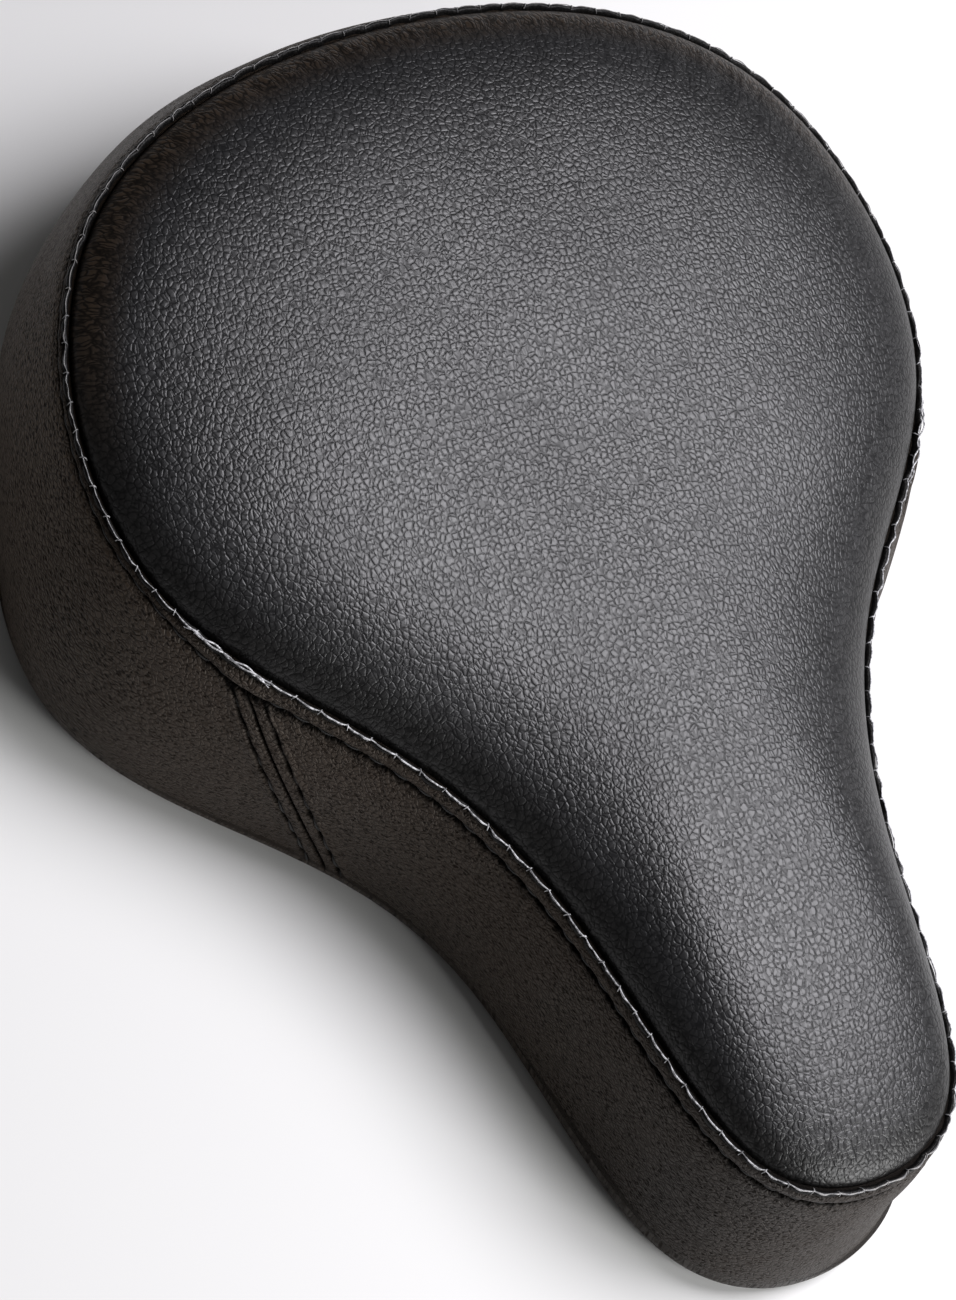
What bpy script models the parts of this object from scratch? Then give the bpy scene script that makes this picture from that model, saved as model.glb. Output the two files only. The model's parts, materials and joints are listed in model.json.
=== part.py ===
"""Solo motorcycle saddle: a wide rounded rear lobe that narrows to a blunt nose.

Metres, +Z up, nose towards -Y, rider's left at +X. The leather hem is at z = 0 and the origin is
under the middle of the bounding box. Every ring of every shell is a loop of RING_POINTS points that
starts at the nose and runs round by the rider's left.
"""

import math

import bpy
import numpy as np

# Plan of the top seam and of the bottom hem: the left half, from nose to rear.
SEAM_HALF = [
    (0.0, -0.162), (0.032, -0.147), (0.049, -0.082), (0.078, -0.020),
    (0.125, 0.040), (0.108, 0.126), (0.0, 0.162),
]
HEM_HALF = [
    (0.0, -0.174), (0.040, -0.152), (0.057, -0.070), (0.092, -0.018),
    (0.133, 0.035), (0.101, 0.116), (0.0, 0.169),
]
CENTRE_SHIFT = -0.0018

# Heights of the top seam, and how far the padded wall swells between seam and hem.
SEAM_HEIGHT_NOSE = 0.050
SEAM_HEIGHT_MIDDLE = 0.058
SEAM_HEIGHT_REAR = 0.084
WALL_SWELL_REAR = 0.011

# The crowned top.
CROWN_HEIGHT = 0.020
CROWN_FLATNESS = 3.5
CROWN_EDGE = 0.62
CROWN_CENTRE_Y = 0.020
CROWN_SCALES = (1.0, 0.985, 0.95, 0.89, 0.80, 0.65, 0.45, 0.22)
INSIDE_SCALES = (1.0, 0.95, 0.80, 0.55, 0.25)

# Layers, from the outside in.
GAP = 0.0003
LEATHER = 0.0018
WELT_WIDTH = 0.0027
TOPPER_THICKNESS = 0.012
TAPE_THICKNESS = 0.0009
TAPE_WIDTH = 0.020
TAPE_INSET = 0.0030
CORE_INSET = 0.0048

# Cross section of the welt: distance inside the seam and height above it.
WELT_SECTION = [
    (-0.0004, -0.0021), (-0.0009, -0.0004), (-0.0003, 0.0012),
    (0.0014, 0.0015), (WELT_WIDTH, 0.0003), (WELT_WIDTH, -0.0021),
]
BAND_TOP_DROP = 0.0024
BAND_RISES = (1.0, 0.80, 0.55, 0.30, 0.12)
BAND_INSIDE = LEATHER * 1.1
TAPE_RISES = (0.20, 0.35, 0.50, 0.65, 0.80, 0.90)
CORE_WALL_HEIGHTS = (0.030, 0.020)
CORE_PAN_GAP = 0.0020

# The folded hem and the pressed pan.
HEM_FLANGE_HEIGHT = 0.0030
HEM_FLANGE_INSET = 0.0205
PAN_THICKNESS = 0.0015
PAN_BRIM_HEIGHT = HEM_FLANGE_HEIGHT + LEATHER + GAP
PAN_EDGE_INSET = 0.0055
PAN_BRIM_INSET = 0.0225
PAN_SLOPE_INSET = 0.0275
PAN_UNDERSIDE = 0.0240
PAN_MIDDLE_INSET = PAN_SLOPE_INSET + 0.006
CORE_BRIM_HEIGHT = 0.0090
# Cross sections below the walls: inset behind the wall and height above the hem.
HEM_SECTION = [
    (0.0022, 0.0), (0.0092, 0.0), (0.0118, HEM_FLANGE_HEIGHT),
    (HEM_FLANGE_INSET, HEM_FLANGE_HEIGHT), (HEM_FLANGE_INSET, HEM_FLANGE_HEIGHT + LEATHER),
    (0.0114, HEM_FLANGE_HEIGHT + LEATHER), (0.0093, LEATHER), (0.0028, LEATHER),
]
TRIM_OUTSIDE = [(0.0080, 0.0028), (0.0038, 0.0026), (0.0038, 0.0082), (0.0090, 0.0085)]
TRIM_INSIDE = (PAN_EDGE_INSET - GAP, 0.0090, 0.0080)

# The side seams slant forward on their way down. Shares of the way round the loop.
SIDE_SEAM_TOP = 0.240
SIDE_SEAM_HEM = 0.188
SIDE_SEAM_CURVE = 1.33
SIDE_SEAM_GAP = 0.0010

# Rivets through the hem and the pan's brim.
RIVET_COUNT = 14
RIVET_INSET = 0.0158
RIVET_RADIUS = 0.0016
RIVET_HEAD_RADIUS = 0.0031
RIVET_HEAD_HEIGHT = 0.0016
RIVET_TAIL_RADIUS = 0.0024
RIVET_TAIL_HEIGHT = 0.0010
RIVET_HOLE_MARGIN = 0.0011
RIVET_SIDES = 8

# The hinge at the nose. Its tab lies folded forward in the recess and swings down.
PIVOT_Y = -0.096
PIVOT_Z = 0.012
PIN_RADIUS = 0.0030
BUSH_RADIUS = 0.0045
KNUCKLE_RADIUS = 0.0070
TAB_KNUCKLE_RADIUS = 0.0065
EAR_INNER_X = 0.0130
EAR_THICKNESS = 0.0030
PLATE_THICKNESS = 0.0030
TAB_WIDTH = 0.0240
TAB_THICKNESS = 0.0040
TAB_REACH = 0.0300
TAB_HOLE_RADIUS = 0.0043
BRACKET_SIZE = 0.0400
BRACKET_AHEAD = 0.0120
EAR_REAR_REACH = 0.0160
EAR_FRONT_REACH = 0.0080
BOLT_FLATS = 0.0100
BOLT_HEAD_HEIGHT = 0.0040
BOLT_NUT_HEIGHT = 0.0050
BOLT_THREAD_SHOWING = 0.0020
NOSE_STUD_X = 0.0120
NOSE_STUD_Y = -0.0750
NOSE_STUD_END = 0.0110
WASHER_THICKNESS = 0.0012
CUT_MARGIN = 0.0040
LONG_CUT = 0.0300

# The rear mounting plate, its studs and the rubber buffers.
REAR_PLATE = (0.124, 0.036)
REAR_PLATE_Y = 0.094
REAR_STUD_X = 0.045
REAR_STUD_RADIUS = 0.004
REAR_STUD_END = 0.0045
BUFFER_PLACES = [(0.036, -0.022), (-0.036, -0.022), (0.076, 0.052), (-0.076, 0.052)]
BUFFER_RADIUS = 0.0110
BUFFER_HEIGHT = 0.0200
BUFFER_SHOULDER = 0.0030

RING_POINTS = 56
# The side bands share the loops' points, except for their last few steps to the slanted seams.
NOSE_BAND_SHARED = 9
REAR_BAND_SHARED = 15
SEAM_STEPS = 4

RING_SHARES = np.arange(RING_POINTS) / RING_POINTS


def clear_scene():
    for obj in list(bpy.data.objects):
        bpy.data.objects.remove(obj, do_unlink=True)


def material(name, colour, roughness, metallic=0.0):
    made = bpy.data.materials.new(name)
    made.use_nodes = True
    shader = made.node_tree.nodes["Principled BSDF"]
    shader.inputs["Base Color"].default_value = (*colour, 1.0)
    shader.inputs["Roughness"].default_value = roughness
    shader.inputs["Metallic"].default_value = metallic
    return made


def closed_curve(half_outline, samples=60):
    """A dense smooth loop through the outline and its mirror image, with the length along it."""
    knots = np.array(half_outline + [(-x, y) for x, y in half_outline[-2:0:-1]])
    count = len(knots)
    following = np.roll(knots, -1, axis=0)
    step = np.sqrt(np.linalg.norm(following - knots, axis=1))
    before = np.roll(step, 1)
    system = np.zeros((count, count))
    for i in range(count):
        system[i, (i - 1) % count] += before[i]
        system[i, i] += 2 * (before[i] + step[i])
        system[i, (i + 1) % count] += step[i]
    slope = (following - knots) / step[:, None]
    bend = np.linalg.solve(system, 6 * (slope - np.roll(slope, 1, axis=0)))
    loop = []
    for i in range(count):
        u = np.linspace(0.0, 1.0, samples, endpoint=False)[:, None]
        weight = step[i] ** 2 / 6
        loop.append(
            knots[i] * (1 - u)
            + following[i] * u
            + weight * ((1 - u) ** 3 - (1 - u)) * bend[i]
            + weight * (u**3 - u) * bend[(i + 1) % count]
        )
    loop = np.vstack(loop + [knots[:1]])
    loop[:, 1] += CENTRE_SHIFT
    length = np.concatenate([[0.0], np.cumsum(np.linalg.norm(np.diff(loop, axis=0), axis=1))])
    return loop, length


SEAM_LOOP = closed_curve(SEAM_HALF)
HEM_LOOP = closed_curve(HEM_HALF)


def along(curve, shares):
    """Points at the given shares of the way round a loop, and the outward normals there."""
    loop, length = curve
    shares = np.asarray(shares) % 1.0

    def at(position):
        position = (position % 1.0) * length[-1]
        return np.stack([np.interp(position, length, loop[:, k]) for k in (0, 1)], axis=-1)

    reach = 0.004
    ahead = at(shares + reach) - at(shares - reach)
    normal = np.stack([ahead[..., 1], -ahead[..., 0]], axis=-1)
    return at(shares), normal / np.linalg.norm(normal, axis=-1, keepdims=True)


def share_of_length(y):
    nose = SEAM_HALF[0][1] + CENTRE_SHIFT
    rear = SEAM_HALF[-1][1] + CENTRE_SHIFT
    return (y - nose) / (rear - nose)


def seam_height(y):
    u = share_of_length(y)
    sag = SEAM_HEIGHT_MIDDLE - (SEAM_HEIGHT_NOSE + SEAM_HEIGHT_REAR) / 2
    return SEAM_HEIGHT_NOSE + (SEAM_HEIGHT_REAR - SEAM_HEIGHT_NOSE) * u + 4 * sag * u * (1 - u)


def wall_points(shares, inset, height):
    """Points a given inset behind the outer wall, at a height above the hem."""
    seam, _ = along(SEAM_LOOP, shares)
    hem, normal = along(HEM_LOOP, shares)
    rise = np.clip(height / seam_height(seam[..., 1]), 0.0, 1.0)
    swell = WALL_SWELL_REAR * share_of_length(seam[..., 1]) * np.sin(math.pi * rise)
    plan = hem + (seam - hem) * rise[..., None] + normal * (swell - inset)[..., None]
    return np.concatenate([plan, np.broadcast_to(height, rise.shape)[..., None]], axis=-1)


def seam_points(shares, inset, lift):
    """Points beside the top seam: a given inset inside it and a lift above it."""
    seam, normal = along(SEAM_LOOP, shares)
    height = seam_height(seam[..., 1]) + lift
    return np.concatenate([seam - normal * inset, height[..., None]], axis=-1)


def crown_points(scale, inset, drop):
    """One ring of the crowned top, a given share of the way out from its middle."""
    edge = seam_points(RING_SHARES, inset, 0.0)[:, :2]
    centre = np.array([0.0, CROWN_CENTRE_Y])
    plan = centre + (edge - centre) * scale
    rise = CROWN_HEIGHT * (1 - scale**CROWN_FLATNESS) ** CROWN_EDGE
    height = seam_height(plan[:, 1]) + rise - drop
    return np.column_stack([plan, height])


def wall_point(share, inset, height):
    return wall_points(share, np.float64(inset), np.float64(height))


def wall_ring(inset, height):
    return wall_points(RING_SHARES, inset, np.full(RING_POINTS, height))


def crown_rings(inset, drop, scales=CROWN_SCALES):
    """Rings of the crown from its edge to its middle."""
    return [crown_points(scale, inset, drop) for scale in scales]


def add_mesh(name, points, faces, finish, location=(0.0, 0.0, 0.0)):
    mesh = bpy.data.meshes.new(name)
    mesh.from_pydata([tuple(point) for point in points], [], faces)
    mesh.validate()
    built = bpy.data.objects.new(name, mesh)
    bpy.context.collection.objects.link(built)
    built.location = location
    mesh.materials.append(finish)
    mesh.shade_smooth()
    mesh.set_sharp_from_angle(angle=math.radians(40))
    return built


def signed_volume(points, faces):
    total = 0.0
    for face in faces:
        for k in range(1, len(face) - 1):
            total += np.dot(points[face[0]], np.cross(points[face[k]], points[face[k + 1]]))
    return total


def facing_out(points, faces):
    return faces if signed_volume(points, faces) > 0 else [face[::-1] for face in faces]


def loft(name, rings, finish, tube=False, location=(0.0, 0.0, 0.0)):
    """A closed solid through rings of points: a tube section, or two ends closed at their middles."""
    width = len(rings[0])
    points = [np.asarray(point) for ring in rings for point in ring]
    faces = []
    for r in range(len(rings) if tube else len(rings) - 1):
        first = r * width
        second = ((r + 1) % len(rings)) * width
        for i in range(width):
            j = (i + 1) % width
            faces.append((first + i, first + j, second + j, second + i))
    if not tube:
        for ring, first, turn in ((rings[0], 0, -1), (rings[-1], (len(rings) - 1) * width, 1)):
            middle = len(points)
            points.append(np.mean(ring, axis=0))
            for i in range(width):
                faces.append((first + i, first + (i + 1) % width, middle)[::turn])
    return add_mesh(name, points, facing_out(points, faces), finish, location)


def sweep(name, sections, finish):
    """A closed solid through copies of one flat section, whose second half runs back beside its first."""
    width = len(sections[0])
    points = [np.asarray(point) for section in sections for point in section]
    faces = []
    for s in range(len(sections) - 1):
        for i in range(width):
            j = (i + 1) % width
            low = s * width
            high = low + width
            faces.append((low + i, low + j, high + j, high + i))
    last = (len(sections) - 1) * width
    for i in range(width // 2 - 1):
        cap = (i, i + 1, width - 2 - i, width - 1 - i)
        faces.append(cap[::-1])
        faces.append(tuple(last + k for k in cap))
    return add_mesh(name, points, facing_out(points, faces), finish)


def circle(radius, height, sides):
    turn = np.arange(sides) * 2 * math.pi / sides
    return np.column_stack([radius * np.cos(turn), radius * np.sin(turn), np.full(sides, height)])


def hexagon(across_flats, height):
    """Twelve points: the six corners and the six middles of the flats."""
    turn = np.arange(12) * math.pi / 6
    radius = np.where(np.arange(12) % 2, across_flats / 2, across_flats / math.sqrt(3))
    return np.column_stack([radius * np.cos(turn), radius * np.sin(turn), np.full(12, height)])


def turned(name, profile, finish, location, sides=16, tube=False):
    """A turned solid about its own Z, from (radius, height) pairs."""
    rings = [circle(radius, height, sides) for radius, height in profile]
    return loft(name, rings, finish, tube, location)


def block(name, size, location, finish):
    x, y, z = (side / 2 for side in size)
    bottom = [(-x, -y, -z), (x, -y, -z), (x, y, -z), (-x, y, -z)]
    top = [(px, py, z) for px, py, _ in bottom]
    return loft(name, [np.array(bottom), np.array(top)], finish, location=location)


def cutter(made):
    made.hide_render = True
    made.display_type = "WIRE"
    return made


def boolean(target, tool, operation):
    change = target.modifiers.new(tool.name, "BOOLEAN")
    change.object = tool
    change.operation = operation
    change.solver = "EXACT"


def along_x(made):
    made.rotation_euler = (0.0, math.pi / 2, 0.0)
    return made


def make_top(leather, foam_soft):
    outer = crown_rings(WELT_WIDTH + GAP, 0.0)
    inner = crown_rings(WELT_WIDTH + GAP + LEATHER, LEATHER)
    loft("top_cover_panel", outer[::-1] + inner, leather)
    inset = WELT_WIDTH + LEATHER + 2 * GAP
    drop = LEATHER + GAP
    above = crown_rings(inset, drop)
    below = crown_rings(inset, drop + TOPPER_THICKNESS, INSIDE_SCALES)
    loft("foam_topper", above[::-1] + below, foam_soft)


def make_core(foam_firm):
    inset = WELT_WIDTH + LEATHER + 2 * GAP
    drop = LEATHER + 2 * GAP + TOPPER_THICKNESS
    rings = crown_rings(inset, drop, INSIDE_SCALES)[::-1]
    rings += [wall_ring(CORE_INSET, height) for height in CORE_WALL_HEIGHTS]
    roof = PAN_UNDERSIDE + PAN_THICKNESS + GAP
    rings += [
        wall_ring(CORE_INSET + GAP, CORE_BRIM_HEIGHT),
        wall_ring(PAN_BRIM_INSET - CORE_PAN_GAP, CORE_BRIM_HEIGHT),
        wall_ring(PAN_SLOPE_INSET - CORE_PAN_GAP, roof),
        wall_ring(PAN_MIDDLE_INSET, roof),
    ]
    loft("foam_core", rings, foam_firm)


def make_welt(leather):
    rings = [seam_points(RING_SHARES, inset, lift) for inset, lift in WELT_SECTION]
    loft("edge_welt", rings, leather, tube=True)


def side_seam_share(rise):
    return SIDE_SEAM_HEM + (SIDE_SEAM_TOP - SIDE_SEAM_HEM) * rise**SIDE_SEAM_CURVE


def band_section(share_at):
    """One cross section of a side band: down the wall, under the rim, and back up behind it."""
    outside = [band_wall_point(share_at, 0.0, rise) for rise in BAND_RISES]
    under = [wall_point(share_at(0.0), inset, height) for inset, height in HEM_SECTION]
    inside = [band_wall_point(share_at, BAND_INSIDE, rise) for rise in BAND_RISES[::-1]]
    return np.array(outside + under + inside)


def band_wall_point(share_at, inset, rise):
    share = share_at(rise)
    seam, _ = along(SEAM_LOOP, share)
    top = seam_height(seam[1]) - BAND_TOP_DROP
    return wall_point(share, inset, top * rise)


def band(name, shared, edge, finish):
    """A band between the two side seams: shared holds its middle steps, and edge its left end."""
    first, last = shared[0] / RING_POINTS, shared[-1] / RING_POINTS
    whole = first + last

    def toward_seam(step):
        return lambda rise: first + (edge(rise) - first) * step

    def mirrored(share_at):
        return lambda rise: whole - share_at(rise)

    steps = [(SEAM_STEPS - i) / SEAM_STEPS for i in range(SEAM_STEPS)]
    start = [toward_seam(step) for step in steps]
    middle = [lambda rise, k=k: k / RING_POINTS for k in shared]
    stations = start + middle + [mirrored(share_at) for share_at in start[::-1]]
    return sweep(name, [band_section(share_at) for share_at in stations], finish)


def make_bands(leather_side):
    half_gap = SIDE_SEAM_GAP / 2 / HEM_LOOP[1][-1]
    nose_steps = range(-NOSE_BAND_SHARED, NOSE_BAND_SHARED + 1)
    rear_steps = range(REAR_BAND_SHARED, RING_POINTS - REAR_BAND_SHARED + 1)
    return [
        band("nose_side_band", nose_steps, lambda rise: half_gap - side_seam_share(rise), leather_side),
        band("rear_side_band", rear_steps, lambda rise: half_gap + side_seam_share(rise), leather_side),
    ]


def make_seam_tapes(webbing):
    half_width = TAPE_WIDTH / 2 / HEM_LOOP[1][-1]
    for name, side in (("side_seam_tape_left", 1), ("side_seam_tape_right", -1)):
        sections = []
        for rise in TAPE_RISES:
            section = []
            for across, depth in ((-1, 0), (0, 0), (1, 0), (1, 1), (0, 1), (-1, 1)):
                share = side * (side_seam_share(rise) + across * half_width)
                seam, _ = along(SEAM_LOOP, share)
                height = seam_height(seam[1]) * rise
                section.append(wall_point(share, TAPE_INSET + depth * TAPE_THICKNESS, height))
            sections.append(np.array(section))
        sweep(name, sections, webbing)


def make_pan(steel_black, rubber):
    roof = PAN_UNDERSIDE + PAN_THICKNESS
    brim_top = PAN_BRIM_HEIGHT + PAN_THICKNESS
    lean = CORE_PAN_GAP / 2
    above = [
        wall_ring(PAN_MIDDLE_INSET, roof),
        wall_ring(PAN_SLOPE_INSET - lean, roof),
        wall_ring(PAN_BRIM_INSET - lean, brim_top),
        wall_ring(PAN_EDGE_INSET, brim_top),
    ]
    below = [
        wall_ring(PAN_EDGE_INSET, PAN_BRIM_HEIGHT),
        wall_ring(PAN_BRIM_INSET, PAN_BRIM_HEIGHT),
        wall_ring(PAN_SLOPE_INSET, PAN_UNDERSIDE),
        wall_ring(PAN_MIDDLE_INSET, PAN_UNDERSIDE),
    ]
    pan = loft("seat_pan", above + below, steel_black)
    edge, top_lip, bottom_lip = TRIM_INSIDE
    slot = [
        (top_lip, brim_top + GAP), (edge, brim_top + GAP),
        (edge, PAN_BRIM_HEIGHT - GAP), (bottom_lip, PAN_BRIM_HEIGHT - GAP),
    ]
    rings = [wall_ring(*point) for point in TRIM_OUTSIDE + slot]
    loft("pan_edge_trim", rings, rubber, tube=True)
    return pan


def make_rivets(pan, bands, aluminium):
    """Hollow-set rivets: a domed head below the hem and an upset tail above the brim."""
    head_top = HEM_FLANGE_HEIGHT - GAP
    tail_bottom = PAN_BRIM_HEIGHT + PAN_THICKNESS + GAP
    profile = [
        (RIVET_HEAD_RADIUS * 0.45, head_top - RIVET_HEAD_HEIGHT),
        (RIVET_HEAD_RADIUS * 0.85, head_top - RIVET_HEAD_HEIGHT * 0.7),
        (RIVET_HEAD_RADIUS, head_top), (RIVET_RADIUS, head_top), (RIVET_RADIUS, tail_bottom),
        (RIVET_TAIL_RADIUS, tail_bottom), (RIVET_RADIUS, tail_bottom + RIVET_TAIL_HEIGHT),
    ]
    low = HEM_FLANGE_HEIGHT - RIVET_HOLE_MARGIN
    high = PAN_BRIM_HEIGHT + PAN_THICKNESS + RIVET_HOLE_MARGIN
    hole_points = []
    hole_faces = []
    for i in range(RIVET_COUNT):
        share = (i + 0.5) / RIVET_COUNT
        place = wall_point(share, RIVET_INSET, HEM_FLANGE_HEIGHT)
        centre = (place[0], place[1], 0.0)
        turned(f"hem_rivet_{i + 1:02d}", profile, aluminium, centre, RIVET_SIDES)
        first = len(hole_points)
        second = first + RIVET_SIDES
        for height in (low, high):
            hole_points.extend(circle(RIVET_RADIUS + GAP, height, RIVET_SIDES) + centre)
        for k in range(RIVET_SIDES):
            j = (k + 1) % RIVET_SIDES
            hole_faces.append((first + k, first + j, second + j, second + k))
        hole_faces.append(tuple(first + k for k in range(RIVET_SIDES))[::-1])
        hole_faces.append(tuple(second + k for k in range(RIVET_SIDES)))
    holes = cutter(add_mesh("cut_rivet_holes", hole_points, hole_faces, aluminium))
    for target in [pan, *bands]:
        boolean(target, holes, "DIFFERENCE")


def make_stud(name, place, radius, plate_bottom, end, zinc):
    """A weld stud under the pan, with the washer and the nut that clamp a plate to it."""
    x, y = place
    top = PAN_UNDERSIDE - GAP
    stud = [(radius, top), (radius, end + radius / 3), (radius * 0.7, end)]
    turned(f"{name}_stud", stud, zinc, (x, y, 0.0), sides=12)
    washer_top = plate_bottom - GAP
    washer_bottom = washer_top - WASHER_THICKNESS
    washer = [
        (radius * 2.0, washer_top), (radius * 2.0, washer_bottom),
        (radius + GAP, washer_bottom), (radius + GAP, washer_top),
    ]
    turned(f"{name}_washer", washer, zinc, (x, y, 0.0), tube=True)
    nut_top = washer_bottom - GAP
    hex_nut(f"{name}_nut", radius, radius * 3.4, nut_top, nut_top - radius * 1.6, zinc, (x, y, 0.0))


def hex_nut(name, radius, flats, start, end, zinc, location):
    rings = [
        hexagon(flats, start), hexagon(flats, end),
        circle(radius + GAP, end, 12), circle(radius + GAP, start, 12),
    ]
    return loft(name, rings, zinc, tube=True, location=location)


def stud_hole(name, place, radius, height, zinc):
    x, y = place
    hole = [(radius + GAP, height - CUT_MARGIN), (radius + GAP, height + CUT_MARGIN)]
    return cutter(turned(name, hole, zinc, (x, y, 0.0), sides=12))


def ear_outline():
    """Side view of a hinge ear, about the pivot: round below, widening to its plate."""
    turn = np.linspace(math.pi, 2 * math.pi, 9)
    round_end = [(KNUCKLE_RADIUS * math.cos(t), KNUCKLE_RADIUS * math.sin(t)) for t in turn]
    top = PAN_UNDERSIDE - GAP - PLATE_THICKNESS / 2 - PIVOT_Z
    return round_end + [(EAR_REAR_REACH, top), (-EAR_FRONT_REACH, top)]


def make_hinge(zinc, nylon):
    plate_z = PAN_UNDERSIDE - GAP - PLATE_THICKNESS / 2
    size = (BRACKET_SIZE, BRACKET_SIZE, PLATE_THICKNESS)
    bracket = block("nose_hinge_bracket", size, (0.0, PIVOT_Y + BRACKET_AHEAD, plate_z), zinc)
    for side in (1, -1):
        faces = []
        for x in (side * EAR_INNER_X, side * (EAR_INNER_X + EAR_THICKNESS)):
            faces.append(np.array([(x, y, z) for y, z in ear_outline()]))
        ear = loft(f"join_ear_{side}", faces, zinc, location=(0.0, PIVOT_Y, PIVOT_Z))
        boolean(bracket, cutter(ear), "UNION")
    bore = [(PIN_RADIUS + GAP, -LONG_CUT), (PIN_RADIUS + GAP, LONG_CUT)]
    pin_hole = cutter(along_x(turned("cut_pin_hole", bore, zinc, (0.0, PIVOT_Y, PIVOT_Z))))
    boolean(bracket, pin_hole, "DIFFERENCE")
    for side, name in ((1, "left"), (-1, "right")):
        place = (side * NOSE_STUD_X, NOSE_STUD_Y)
        plate_bottom = plate_z - PLATE_THICKNESS / 2
        make_stud(f"nose_{name}", place, PIN_RADIUS, plate_bottom, NOSE_STUD_END, zinc)
        hole = stud_hole(f"cut_nose_{name}", place, PIN_RADIUS, plate_z, zinc)
        boolean(bracket, hole, "DIFFERENCE")

    pivot = (0.0, PIVOT_Y, PIVOT_Z)
    outside = EAR_INNER_X + EAR_THICKNESS + GAP
    nut_end = -outside - BOLT_NUT_HEIGHT
    shank = [(PIN_RADIUS, nut_end - BOLT_THREAD_SHOWING), (PIN_RADIUS, outside + GAP)]
    bolt = along_x(turned("hinge_bolt", shank, zinc, pivot))
    rings = [hexagon(BOLT_FLATS, outside), hexagon(BOLT_FLATS, outside + BOLT_HEAD_HEIGHT)]
    head = loft("join_bolt_head", rings, zinc, location=pivot)
    boolean(bolt, cutter(along_x(head)), "UNION")
    along_x(hex_nut("hinge_nut", PIN_RADIUS, BOLT_FLATS, -outside, nut_end, zinc, pivot))
    for name, start in (("left", GAP), ("right", -EAR_INNER_X + 2 * GAP)):
        end = start + EAR_INNER_X - 3 * GAP
        bush = [
            (BUSH_RADIUS, start), (BUSH_RADIUS, end),
            (PIN_RADIUS + GAP, end), (PIN_RADIUS + GAP, start),
        ]
        along_x(turned(f"hinge_bush_{name}", bush, nylon, pivot, tube=True))


def make_tab(zinc):
    """The frame tab, about its pivot: a rolled knuckle and a flat blade with a bolt hole."""
    pivot = (0.0, PIVOT_Y, PIVOT_Z)
    half = EAR_INNER_X - GAP * 2
    knuckle = [(TAB_KNUCKLE_RADIUS, -half), (TAB_KNUCKLE_RADIUS, half)]
    tab = along_x(turned("frame_tab", knuckle, zinc, pivot, sides=20))
    turn = np.linspace(-math.pi, 0.0, 11)
    end = [
        (TAB_WIDTH / 2 * math.cos(t), TAB_WIDTH / 2 * math.sin(t) - TAB_REACH) for t in turn
    ]
    outline = end + [(TAB_WIDTH / 2, 0.0), (-TAB_WIDTH / 2, 0.0)]
    levels = (-TAB_THICKNESS / 2, TAB_THICKNESS / 2)
    rings = [np.array([(x, y, z) for x, y in outline]) for z in levels]
    boolean(tab, cutter(loft("join_tab_blade", rings, zinc, location=pivot)), "UNION")
    bore = [(BUSH_RADIUS + GAP, -LONG_CUT), (BUSH_RADIUS + GAP, LONG_CUT)]
    boolean(tab, cutter(along_x(turned("cut_tab_bore", bore, zinc, pivot))), "DIFFERENCE")
    hole = [(TAB_HOLE_RADIUS, -CUT_MARGIN), (TAB_HOLE_RADIUS, CUT_MARGIN)]
    place = (0.0, PIVOT_Y - TAB_REACH, PIVOT_Z)
    boolean(tab, cutter(turned("cut_tab_hole", hole, zinc, place)), "DIFFERENCE")


def make_rear_mount(steel_black, zinc):
    plate_z = PAN_UNDERSIDE - GAP - PLATE_THICKNESS / 2
    size = (*REAR_PLATE, PLATE_THICKNESS)
    plate = block("rear_mount_plate", size, (0.0, REAR_PLATE_Y, plate_z), steel_black)
    plate_bottom = plate_z - PLATE_THICKNESS / 2
    for side, name in ((1, "left"), (-1, "right")):
        place = (side * REAR_STUD_X, REAR_PLATE_Y)
        make_stud(f"rear_{name}", place, REAR_STUD_RADIUS, plate_bottom, REAR_STUD_END, zinc)
        hole = stud_hole(f"cut_rear_{name}", place, REAR_STUD_RADIUS, plate_z, zinc)
        boolean(plate, hole, "DIFFERENCE")


def make_buffers(rubber):
    top = PAN_UNDERSIDE - GAP
    bottom = top - BUFFER_HEIGHT
    profile = [
        (BUFFER_RADIUS, top), (BUFFER_RADIUS, top - BUFFER_SHOULDER),
        (BUFFER_RADIUS * 0.82, bottom + BUFFER_SHOULDER), (BUFFER_RADIUS * 0.66, bottom),
    ]
    for i, (x, y) in enumerate(BUFFER_PLACES):
        turned(f"rubber_buffer_{i + 1}", profile, rubber, (x, y, 0.0), sides=18)


def main():
    clear_scene()
    leather = material("leather_top", (0.022, 0.022, 0.024), 0.42)
    leather_side = material("leather_side", (0.020, 0.017, 0.015), 0.55)
    foam_soft = material("foam_soft", (0.78, 0.74, 0.60), 0.95)
    foam_firm = material("foam_firm", (0.30, 0.30, 0.32), 0.95)
    webbing = material("webbing", (0.05, 0.05, 0.05), 0.9)
    steel_black = material("steel_black", (0.015, 0.015, 0.016), 0.45)
    rubber = material("rubber", (0.02, 0.02, 0.02), 0.7)
    zinc = material("zinc_steel", (0.62, 0.62, 0.60), 0.35, 1.0)
    aluminium = material("rivet_aluminium", (0.70, 0.70, 0.72), 0.35, 1.0)
    nylon = material("nylon", (0.80, 0.78, 0.70), 0.5)

    make_top(leather, foam_soft)
    make_core(foam_firm)
    make_welt(leather)
    bands = make_bands(leather_side)
    make_seam_tapes(webbing)
    pan = make_pan(steel_black, rubber)
    make_rivets(pan, bands, aluminium)
    make_hinge(zinc, nylon)
    make_tab(zinc)
    make_rear_mount(steel_black, zinc)
    make_buffers(rubber)


main()
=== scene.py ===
"""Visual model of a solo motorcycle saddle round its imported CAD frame."""

import json
import math

import bmesh
import bpy
import numpy as np
from mathutils import Matrix, Vector


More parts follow.
